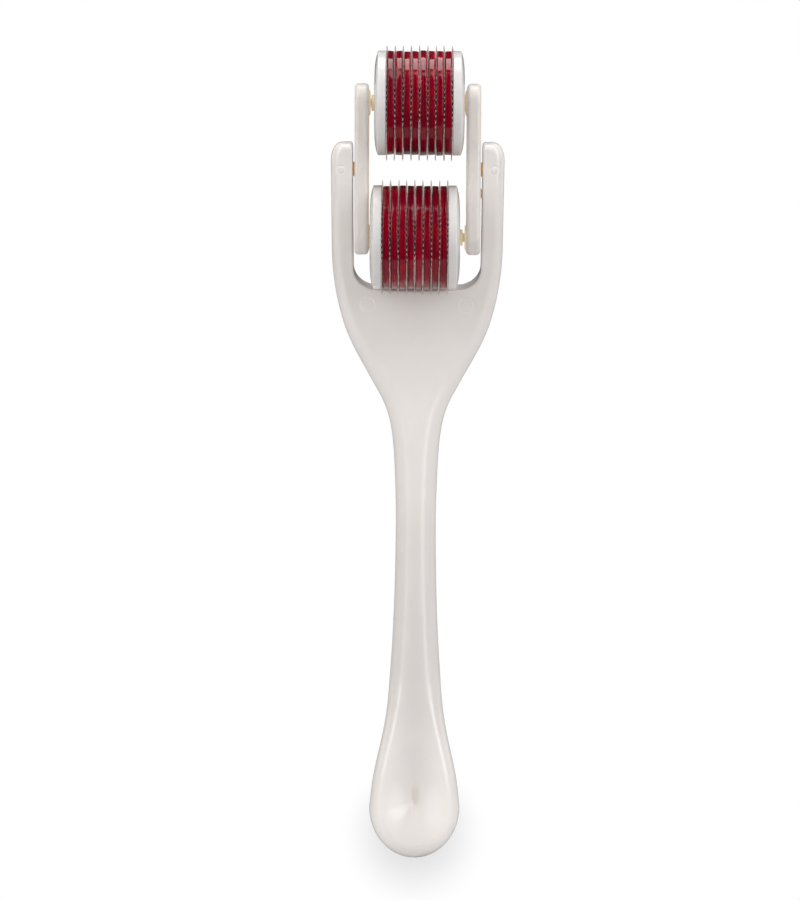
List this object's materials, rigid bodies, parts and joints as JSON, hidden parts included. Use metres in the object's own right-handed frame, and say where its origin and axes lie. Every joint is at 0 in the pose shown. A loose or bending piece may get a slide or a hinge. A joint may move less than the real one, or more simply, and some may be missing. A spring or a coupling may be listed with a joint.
{
  "type": "twin-head derma roller",
  "caption": "Handheld skin roller: a slim handle with a fork, a rocking link frame pivoted in it, and two needle drums that spin between the links.",
  "frame": {"origin": "middle of the grip, where a hand closes on the handle", "axes": "+Z along the handle towards the needle drums, +X to the right along the drums' axles when the spoon hollow faces the viewer, -Y out of the front, the side that the drums stand forward on"},
  "size_m": [0.0334, 0.0262, 0.1596],
  "materials": {
    "handle_plastic": "moulded warm white plastic, soft gloss",
    "link_plastic": "moulded warm white plastic, soft gloss",
    "cap_plastic": "moulded white plastic, soft gloss",
    "red_plastic": "deep red, slightly clear, high gloss",
    "amber_nylon": "moulded amber nylon",
    "ivory_nylon": "moulded ivory nylon",
    "needle_steel": "fine bright steel"
  },
  "bodies": {
    "handle": {"handle": "handle_plastic"},
    "rocker": {"left_link": "link_plastic", "right_link": "link_plastic", "left_pivot_pin": "amber_nylon", "right_pivot_pin": "amber_nylon", "friction_nub": "amber_nylon", "upper_axle": "ivory_nylon", "lower_axle": "ivory_nylon"},
    "upper_roller": {"upper_core": "ivory_nylon", "upper_left_cap": "cap_plastic", "upper_right_cap": "cap_plastic", "upper_needle_disc_1": "needle_steel", "upper_needle_disc_2": "needle_steel", "upper_needle_disc_3": "needle_steel", "upper_needle_disc_4": "needle_steel", "upper_needle_disc_5": "needle_steel", "upper_needle_disc_6": "needle_steel", "upper_needle_disc_7": "needle_steel", "upper_needle_disc_8": "needle_steel", "upper_needle_disc_9": "needle_steel", "upper_spacer_1": "red_plastic", "upper_spacer_2": "red_plastic", "upper_spacer_3": "red_plastic", "upper_spacer_4": "red_plastic", "upper_spacer_5": "red_plastic", "upper_spacer_6": "red_plastic", "upper_spacer_7": "red_plastic", "upper_spacer_8": "red_plastic"},
    "lower_roller": {"lower_core": "ivory_nylon", "lower_left_cap": "cap_plastic", "lower_right_cap": "cap_plastic", "lower_needle_disc_1": "needle_steel", "lower_needle_disc_2": "needle_steel", "lower_needle_disc_3": "needle_steel", "lower_needle_disc_4": "needle_steel", "lower_needle_disc_5": "needle_steel", "lower_needle_disc_6": "needle_steel", "lower_needle_disc_7": "needle_steel", "lower_needle_disc_8": "needle_steel", "lower_needle_disc_9": "needle_steel", "lower_spacer_1": "red_plastic", "lower_spacer_2": "red_plastic", "lower_spacer_3": "red_plastic", "lower_spacer_4": "red_plastic", "lower_spacer_5": "red_plastic", "lower_spacer_6": "red_plastic", "lower_spacer_7": "red_plastic", "lower_spacer_8": "red_plastic"}
  },
  "joints": [
    {"name": "rocker_pivot", "type": "hinge", "parent": "handle", "child": "rocker", "pos_m": [0, -0.01, 0.0708], "axis": [-1, 0, 0], "range_deg": [0, 130]},
    {"name": "upper_roller_spin", "type": "hinge", "parent": "rocker", "child": "upper_roller", "pos_m": [0, -0.01, 0.0835], "axis": [1, 0, 0], "continuous": true},
    {"name": "lower_roller_spin", "type": "hinge", "parent": "rocker", "child": "lower_roller", "pos_m": [0, -0.01, 0.0577], "axis": [1, 0, 0], "continuous": true}
  ]
}
